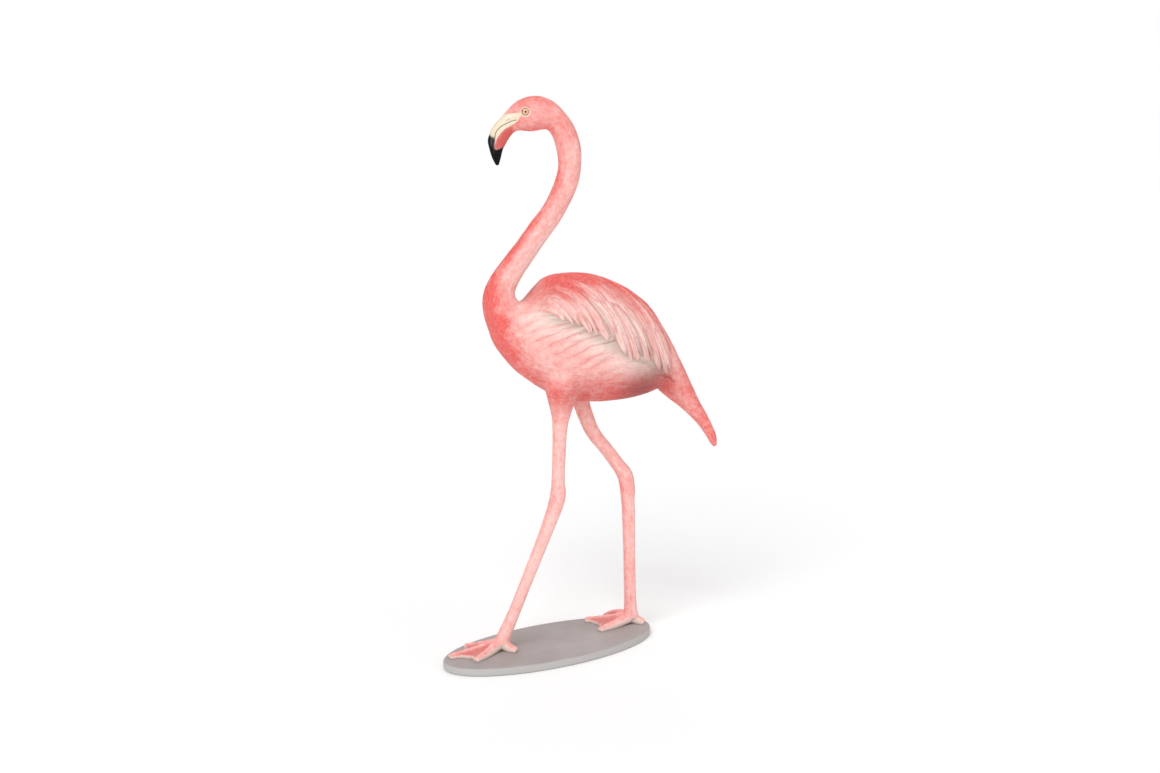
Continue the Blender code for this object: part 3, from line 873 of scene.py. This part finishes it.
birdPaint = {
    "pale": "#FAC8C1",
    "coral": "#EC625C",
    "cream": "#F6E0D5",
    "greyShade": "#AFA197",
    "lineAndGrooveShade": "#BE5A58",
    "deepShadeRed": "#7E2E2A",
    "webRed": "#C8665E",
    "strokeRed": "#D24740",
    "footPale": "#E9D0C6",
    "billCream": "#E9D8BE",
    "billRed": "#CF4F47",
    "billBlack": "#080708",
    "billHighlightGrey": "#6A6E76",
    "combWhite": "#FFF6EE",
    "gape": "#453A32",
    "orbit": "#EAD6BD",
    "eyeRing": "#7A3A2B",
    "iris": "#EFB996",
    "pupil": "#120C0A",
    "smoothest": 0.46,  # the satin coat is uneven between these two
    "roughest": 0.60,
    "hairWidth": 1.5,  # mm, one painted hair, drawn about twice as coarse as the real brush marks
    "hairLength": 20.0,
    "bumpDepth": 0.0012,
}
# Mottling over the whole bird: how many spots in a metre, their detail and their roughness.
birdSpots = {"mottle": (95.0, 4.0, 0.62), "speck": (420.0, 3.0, 0.6)}
roundHair = (1 / birdPaint["hairWidth"], 1 / birdPaint["hairWidth"], 1.6 / birdPaint["hairLength"])
flatHair = (1 / birdPaint["hairWidth"], 1 / birdPaint["hairLength"], 0.6)
# Brush marks: the flow they follow, how many there are in a mm each way, and how broken they are.
brushMarks = {
    "limbFur": ("limbFlow", roundHair, 3.0),
    "wingFur": ("wingFlow", flatHair, 3.0),
    "flankFur": ("flankFlow", flatHair, 3.0),
    "limbWide": ("limbFlow", (0.12, 0.12, 0.035), 3.0),
    "wingWide": ("wingFlow", (0.16, 0.014, 0.1), 2.0),
    "flankWide": ("flankFlow", (0.14, 0.014, 0.1), 2.0),
    "dabs": ("limbFlow", (0.42, 0.42, 0.10), 2.0),
    "wingDabs": ("wingFlow", (0.20, 0.06, 0.1), 3.0),
    "wingLine": ("wingFlow", (0.17, 0.014, 0.1), 1.5),
    "flankLine": ("flankFlow", (0.13, 0.017, 0.1), 1.5),
}
# Measures for the brush, each from layers and measures above it. RANGE eases a value from 0 to 1
# between two limits, or between the two results after them; MIX has a share and two ends.
paintMeasures = [
    ("fur", "MIX", "flankPart", "limbFur", "flankFur"),
    ("fur", "MIX", "wingPart", "fur", "wingFur"),
    ("wide", "MIX", "flankPart", "limbWide", "flankWide"),
    ("wide", "MIX", "wingPart", "wide", "wingWide"),
    ("bodyPart", "MAXIMUM", "flankPart", "cream"),
    ("bodyPart", "MAXIMUM", "wingPart", "bodyPart"),
    # How coral the ground coat is.
    ("mottleOff", "SUBTRACT", "mottle", 0.5),
    ("wideOff", "SUBTRACT", "wide", 0.5),
    ("furOff", "SUBTRACT", "fur", 0.5),
    ("ground", "ADD", "coral", "mottleOff"),
    ("ground", "MULTIPLY_ADD", "wideOff", 0.7, "ground"),
    ("ground", "MULTIPLY_ADD", "furOff", 0.35, "ground"),
    # Thin lines drawn along the feathers.
    ("lines", "MIX", "wingPart", "flankLine", "wingLine"),
    ("lines", "MULTIPLY", "lines", 5.0),
    ("lines", "PINGPONG", "lines", 0.5),
    ("lines", "RANGE", "lines", 0.37, 0.48),
    ("lineShare", "MULTIPLY", "flankPart", 0.6),
    ("lineShare", "MAXIMUM", "wingPart", "lineShare"),
    ("lineBreak", "RANGE", "fur", 0.4, 0.55, 0.15, 0.36),
    ("lineShare", "MULTIPLY", "lineShare", "lineBreak"),
    ("drawn", "MULTIPLY", "lines", "lineShare"),
    # How strong each kind of brush mark is.
    ("creamBreak", "RANGE", "wide", 0.3, 0.62, 0.6, 1.0),
    ("dabShare", "MULTIPLY_ADD", "bodyPart", -0.28, 0.42),
    ("limbRed", "RANGE", "dabs", 0.54, 0.66),
    ("wingRed", "RANGE", "wingDabs", 0.5, 0.6),
    ("redDabs", "MIX", "wingPart", "limbRed", "wingRed"),
    ("redShare", "RANGE", "coral", 0.25, 0.95, 0.0, 0.5),
    ("paleShare", "RANGE", "coral", 0.3, 0.9, 0.0, 0.28),
    ("shadeBreak", "RANGE", "wide", 0.35, 0.6, 1.0, 0.55),
    ("grooveBreak", "RANGE", "wide", 0.3, 0.65, 0.68, 0.25),
    # Edges on the bill and round the eye, a little uneven like the painter's own.
    ("ragged", "MULTIPLY", "mottleOff", 5.0),
    ("jawEdge", "ADD", "redJaw", "ragged"),
    ("creamEdge", "MULTIPLY_ADD", "ragged", 0.35, "creamPatch"),
    ("blackEdge", "MULTIPLY_ADD", "ragged", 0.9, "blackTip"),
    ("black", "RANGE", "blackEdge", -3.0, 3.0),
    ("orbitEdge", "MULTIPLY_ADD", "ragged", 0.5, "eyeAway"),
    ("ringBreak", "RANGE", "mottle", 0.35, 0.6, 1.0, 0.7),
    # Brush relief, weaker on the bare bill and the eye, and how dull the surface is.
    ("relief", "MULTIPLY", "fur", 0.75),
    ("relief", "MULTIPLY_ADD", "speck", 0.25, "relief"),
    ("relief", "MULTIPLY_ADD", "drawn", -0.9, "relief"),
    ("bareBill", "RANGE", "creamPatch", -1.0, 1.0),
    ("bareTip", "RANGE", "blackTip", -1.0, 1.0),
    ("bareEye", "RANGE", "eyeAway", 13.0, 11.0),
    ("bareBill", "MAXIMUM", "bareBill", "bareTip"),
    ("bareBill", "MAXIMUM", "bareBill", "bareEye"),
    ("strength", "MULTIPLY_ADD", "bareBill", -0.5, 0.56),
    ("rough", "RANGE", "mottle", 0.3, 0.7, birdPaint["smoothest"], birdPaint["roughest"]),
    ("rough", "MULTIPLY_ADD", "bareBill", -0.18, "rough"),
    ("wetEye", "RANGE", "eyeAway", 8.6, 8.0, 0.0, 0.2),
    ("rough", "SUBTRACT", "rough", "wetEye"),
    ("gloss", "MULTIPLY_ADD", "black", -0.36, 0.5),  # the black is a flat, dusty paint
]
# Coats in the order of painting: the paint, what it follows, the limits it fades between if any,
# and how thick it is laid.
paintCoats = [
    ("coral", "ground", None, 1.0),
    ("cream", "cream", None, "creamBreak"),
    ("lineAndGrooveShade", "fur", (0.42, 0.30), 0.28),
    ("cream", "fur", (0.60, 0.74), 0.22),
    ("lineAndGrooveShade", "drawn", None, 1.0),
    ("coral", "dabs", (0.48, 0.74), "dabShare"),
    ("strokeRed", "redDabs", None, "redShare"),
    ("pale", "dabs", (0.44, 0.34), "paleShare"),
    # Painted highlights in cream on the crests of the locks.
    ("cream", "light", None, 0.75),
    # Grey painted shade under the wing's edge and between the low locks.
    ("greyShade", "shade", None, "shadeBreak"),
    # The carved grooves darkened as painted shade; the same colour draws the fur strokes and the
    # thin lines.
    ("lineAndGrooveShade", "groove", None, "grooveBreak"),
    # Dark red painted shade in the crease, under the rump, along the belly and in the deep gaps.
    ("deepShadeRed", "crease", None, 0.8),
    ("footPale", "footPale", None, 1.0),
    ("webRed", "webHollow", None, 0.7),
    ("billRed", "jawEdge", (-6.0, 6.0), 0.9),
    ("billCream", "creamEdge", (-0.8, 1.2), 1.0),
    ("combWhite", "comb", None, 0.9),
    ("billBlack", "black", None, 1.0),
    # The painted highlight on the black tip, in grey-blue.
    ("billHighlightGrey", "sheen", None, 0.6),
    ("gape", "gapeLine", (1.25, 0.35), 0.9),
    ("gape", "nostrilLine", (1.0, 0.2), 0.6),
    ("orbit", "orbitEdge", (12.0, 10.2), 1.0),
    ("eyeRing", "eyeAway", (8.5, 7.9), "ringBreak"),
    ("iris", "eyeAway", (6.4, 5.8), 1.0),
    ("eyeRing", "eyeAway", (3.6, 2.4), 0.85),
    ("pupil", "eyeAway", (2.3, 1.8), 1.0),
]
paintLayers = ("coral", "cream", "shade", "groove", "crease", "light", "wingPart", "flankPart",
               "webHollow", "footPale", "creamPatch", "blackTip", "redJaw", "gapeLine",
               "nostrilLine", "eyeAway", "comb", "sheen")


def paintHex(code):  # sRGB hex to linear
    value = [int(code[i:i + 2], 16) / 255 for i in (1, 3, 5)]
    value = [v / 12.92 if v <= 0.04045 else ((v + 0.055) / 1.055) ** 2.4 for v in value]
    return (*value, 1.0)


def startMaterial(name):
    material = bpy.data.materials.new(name)
    material.use_nodes = True
    material.node_tree.nodes.clear()
    return material, material.node_tree


def polyresinPaint():
    # Acrylic paint over a polyresin casting, then a satin coat: soft sheen, colour in layers,
    # hair-thin brush marks along the feathers, painted shade in the grooves, creases and hollows,
    # and painted highlights on the crests.
    material, tree = startMaterial("satinPaintedPolyresin")
    place = addNode(tree, "ShaderNodeTexCoord", out="Object")
    values = {}
    for name, (scale, detail, rough) in birdSpots.items():
        values[name] = addNode(tree, "ShaderNodeTexNoise", {
            "Vector": place, "Scale": scale, "Detail": detail, "Roughness": rough})
    for name in paintLayers:
        values[name] = addNode(tree, "ShaderNodeAttribute", out="Fac", attribute_name=name)
    for name, (flow, scale, detail) in brushMarks.items():
        along = addNode(tree, "ShaderNodeAttribute", out="Vector", attribute_name=flow)
        along = addNode(tree, "ShaderNodeMapping", {"Vector": along, "Scale": scale})
        values[name] = addNode(tree, "ShaderNodeTexNoise", {
            "Vector": along, "Scale": 1.0, "Detail": detail, "Roughness": 0.55})
    for name, kind, *terms in paintMeasures:
        terms = {i: values.get(term, term) for i, term in enumerate(terms)}
        if kind == "RANGE":
            made = addNode(tree, "ShaderNodeMapRange", terms, interpolation_type="SMOOTHSTEP")
        elif kind == "MIX":
            made = addNode(tree, "ShaderNodeMix", {0: terms[0], 2: terms[1], 3: terms[2]})
        else:
            made = addNode(tree, "ShaderNodeMath", terms, operation=kind)
        values[name] = made
    colour = paintHex(birdPaint["pale"])
    for paint, source, limits, thickness in paintCoats:
        share = values[source]
        if limits:
            share = addNode(tree, "ShaderNodeMapRange", {0: share, 1: limits[0], 2: limits[1]},
                            interpolation_type="SMOOTHSTEP")
        thickness = values.get(thickness, thickness)
        share = addNode(tree, "ShaderNodeMath", {0: share, 1: thickness}, operation="MULTIPLY")
        colour = addNode(tree, "ShaderNodeMix", {
            0: share, 6: colour, 7: paintHex(birdPaint[paint])}, out=2, data_type="RGBA")
    bump = addNode(tree, "ShaderNodeBump", {
        "Strength": values["strength"], "Distance": birdPaint["bumpDepth"],
        "Height": values["relief"]})
    shader = addNode(tree, "ShaderNodeBsdfPrincipled", {
        "Base Color": colour, "Roughness": values["rough"], "IOR": 1.5,
        "Specular IOR Level": values["gloss"], "Normal": bump})
    addNode(tree, "ShaderNodeOutputMaterial", {"Surface": shader})
    return material


# Making the bird.

def makeBird():
    finish = polyresinPaint()
    tree = buildLimbTree()
    forms = [loftBird()]
    for side, line in legLines.items():
        forms.append(limb(tree, finish, line, side + "Leg"))
        foot = footShapes[side]
        for toe in ("outer", "middle", "inner", "hind"):
            forms.append(limb(tree, finish, toeLine(foot, toe), side + toe))
        forms.append(webMesh(foot, side + "Web"))
    print("flamingo: forms drawn")
    mesh = fuseForms(forms)
    print("flamingo: skin of", len(mesh.vertices), "points")
    relax(mesh, birdSizes["smoothing"])
    relax(mesh, birdSizes["rootSmoothing"], rootMask(readPoints(mesh)))
    cutHeadFiner(mesh)
    relax(mesh, 1)
    carve(mesh)
    print("flamingo: carved")
    mesh.calc_loop_triangles()
    piece = newObject("carved", mesh)
    thin = piece.modifiers.new("thin", "DECIMATE")
    thin.ratio = min(1.0, birdSizes["faceLimit"] / len(mesh.loop_triangles))
    thin.use_collapse_triangulate = True
    mesh = plainMesh(piece, "flamingo")
    points = readPoints(mesh)
    points[:, 2] = np.maximum(points[:, 2], 0)  # flat soles
    writePoints(mesh, points)
    paintFields(mesh)
    perMm = birdSizes["height"] / birdSizes["drawnHeight"]
    writePoints(mesh, points * perMm + (0, birdSizes["side"], birdSizes["soleHeight"]))
    mesh.materials.clear()
    mesh.materials.append(finish)
    mesh.shade_smooth()
    print("flamingo: painted,", len(mesh.polygons), "faces")
    return newObject("flamingoCasting", mesh)


bird = makeBird()
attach(bird, "root")
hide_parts("flamingo")


# The plate: an oval with an eased edge.

plateSizes = {
    "length": 0.556,
    "width": 0.240,
    "thickness": 0.020,
    "edgeRadius": 0.0055,
    "edgeSteps": 6,
    "turn": 17.0,  # degrees
    "sides": 220,
}
platePaint = {
    "light": "#AEA6A4",
    "top": "#A89F9D",
    "dark": "#A39A98",
    "side": "#B6B4B1",
    "cloudSteps": (0.32, 0.5, 0.68),  # where the clouds are dark, even and light
    "cloudScale": 14.0,  # clouds in a metre
    "grainScale": 700.0,  # pits in a metre
    "topDepth": (0.0035, 0.0005),  # metres under the top where its colour begins and is full
    "smoothest": 0.57,
    "roughest": 0.70,
    "bumpDepth": 0.0004,
}


def platePolyresin():
    # Matte acrylic paint over cast polyresin: even warm grey, faint brushed clouds, finely pitted.
    material, tree = startMaterial("mattePaintedPolyresin")
    place = addNode(tree, "ShaderNodeTexCoord", out="Object")
    clouds = addNode(tree, "ShaderNodeTexNoise", {
        "Vector": place, "Scale": platePaint["cloudScale"], "Detail": 4.0})
    grain = addNode(tree, "ShaderNodeTexNoise", {
        "Vector": place, "Scale": platePaint["grainScale"], "Detail": 3.0})
    tone = addNode(tree, "ShaderNodeValToRGB", {"Fac": clouds})
    steps = tone.node.color_ramp.elements
    steps.new(0.5)
    for step, position, paint in zip(steps, platePaint["cloudSteps"], ("dark", "top", "light")):
        step.position, step.color = position, paintHex(platePaint[paint])
    height = addNode(tree, "ShaderNodeSeparateXYZ", {"Vector": place}, out="Z")
    start, full = (plateSizes["thickness"] - depth for depth in platePaint["topDepth"])
    topPart = addNode(tree, "ShaderNodeMapRange",
                      {"Value": height, "From Min": start, "From Max": full})
    tone = addNode(tree, "ShaderNodeMix", {
        0: topPart, 6: paintHex(platePaint["side"]), 7: tone}, out=2, data_type="RGBA")
    bump = addNode(tree, "ShaderNodeBump", {
        "Strength": 0.25, "Distance": platePaint["bumpDepth"], "Height": grain})
    rough = addNode(tree, "ShaderNodeMapRange", {
        "Value": grain, "To Min": platePaint["smoothest"], "To Max": platePaint["roughest"]})
    shader = addNode(tree, "ShaderNodeBsdfPrincipled", {
        "Base Color": tone, "Roughness": rough, "IOR": 1.5, "Normal": bump})
    addNode(tree, "ShaderNodeOutputMaterial", {"Surface": shader})
    return material


def buildPlateTree():
    tree, source = startTree("ovalPlateTree", {
        "Sides": "Int", "Thickness": "Float", "Length": "Float", "Width": "Float"})
    drum = addNode(tree, "GeometryNodeMeshCylinder", {
        "Vertices": source["Sides"], "Radius": 0.5, "Depth": source["Thickness"]})
    sizes = addNode(tree, "ShaderNodeCombineXYZ", {
        "X": source["Length"], "Y": source["Width"], "Z": 1.0})
    shaped = addNode(tree, "GeometryNodeTransform", {"Geometry": drum, "Scale": sizes})
    return endTree(tree, source, shaped)


def makePlate():
    piece = newObject("ovalPlateForm", bpy.data.meshes.new("ovalPlateSeed"))
    growBy(buildPlateTree(), piece, {**plateSizes, "finish": platePolyresin()})
    eased = piece.modifiers.new("easedEdge", "BEVEL")
    eased.width = plateSizes["edgeRadius"]
    eased.segments = plateSizes["edgeSteps"]
    eased.limit_method = "ANGLE"
    eased.angle_limit = math.radians(45)
    mesh = plainMesh(piece, "ovalPlate")
    turn = Matrix.Rotation(math.radians(plateSizes["turn"]), 4, "Z")
    mesh.transform(Matrix.Translation((0, 0, plateSizes["thickness"] / 2)) @ turn)
    mesh.shade_smooth()
    made = newObject("ovalPlate", mesh)
    made.modifiers.new("edgeNormals", "WEIGHTED_NORMAL").keep_sharp = True
    return made


plate = makePlate()
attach(plate, "root")
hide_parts("oval_plate")
print("plate done")


# Floor, light and camera.

studio = {
    "floor": "#FFFFFF",
    "floorRoughness": 0.9,
    "floorReach": 30.0,  # metres from the plate to the floor's edges
    "sky": 0.46,  # how much light the plain white surroundings give
    "backdrop": 1.0,
    "cameraAt": (-0.9005, -3.6405, 1.40),
    "lookAt": (0.083, 0.03, 0.63),
    "lens": 51.4,
}
# Name, where the light comes from, strength, and how wide it looks in degrees.
studioLights = [
    ("key", (-2.2, -3.0, 3.6), 1.76, 40),
    ("fill", (3.2, -2.4, 2.2), 0.55, 80),
    ("back", (0.8, 3.4, 2.8), 0.45, 60),
]


def aim(piece, place, target):
    piece.location = place
    piece.rotation_euler = (Vector(target) - Vector(place)).to_track_quat("-Z", "Y").to_euler()


def makeStudio():
    far = studio["floorReach"]
    floorMesh = bpy.data.meshes.new("studioFloor")
    corners = [(-far, -far, 0), (far, -far, 0), (far, far, 0), (-far, far, 0)]
    floorMesh.from_pydata(corners, [], [(0, 1, 2, 3)])
    material, tree = startMaterial("paleFloor")
    shader = addNode(tree, "ShaderNodeBsdfPrincipled", {
        "Base Color": paintHex(studio["floor"]), "Roughness": studio["floorRoughness"]})
    addNode(tree, "ShaderNodeOutputMaterial", {"Surface": shader})
    floorMesh.materials.append(material)
    newObject("studioFloor", floorMesh)
    world = bpy.data.worlds.new("studioWorld")
    world.use_nodes = True
    tree = world.node_tree
    seen = addNode(tree, "ShaderNodeLightPath", out="Is Camera Ray")
    power = addNode(tree, "ShaderNodeMapRange", {
        "Value": seen, "To Min": studio["sky"], "To Max": studio["backdrop"]})
    sky = tree.nodes["Background"]
    sky.inputs["Color"].default_value = (1, 1, 1, 1)
    tree.links.new(power, sky.inputs["Strength"])
    scene = bpy.context.scene
    scene.world = world
    scene.view_settings.view_transform = "Standard"
    for name, place, strength, wide in studioLights:
        light = bpy.data.lights.new(name, "SUN")
        light.energy = strength
        light.angle = math.radians(wide)
        aim(newObject(name, light), place, (0, 0, 0))
    camera = bpy.data.cameras.new("photoView")
    camera.lens = studio["lens"]
    camera.sensor_width = 36.0
    scene.camera = newObject("photoView", camera)
    aim(scene.camera, studio["cameraAt"], studio["lookAt"])


makeStudio()
print("studio done")
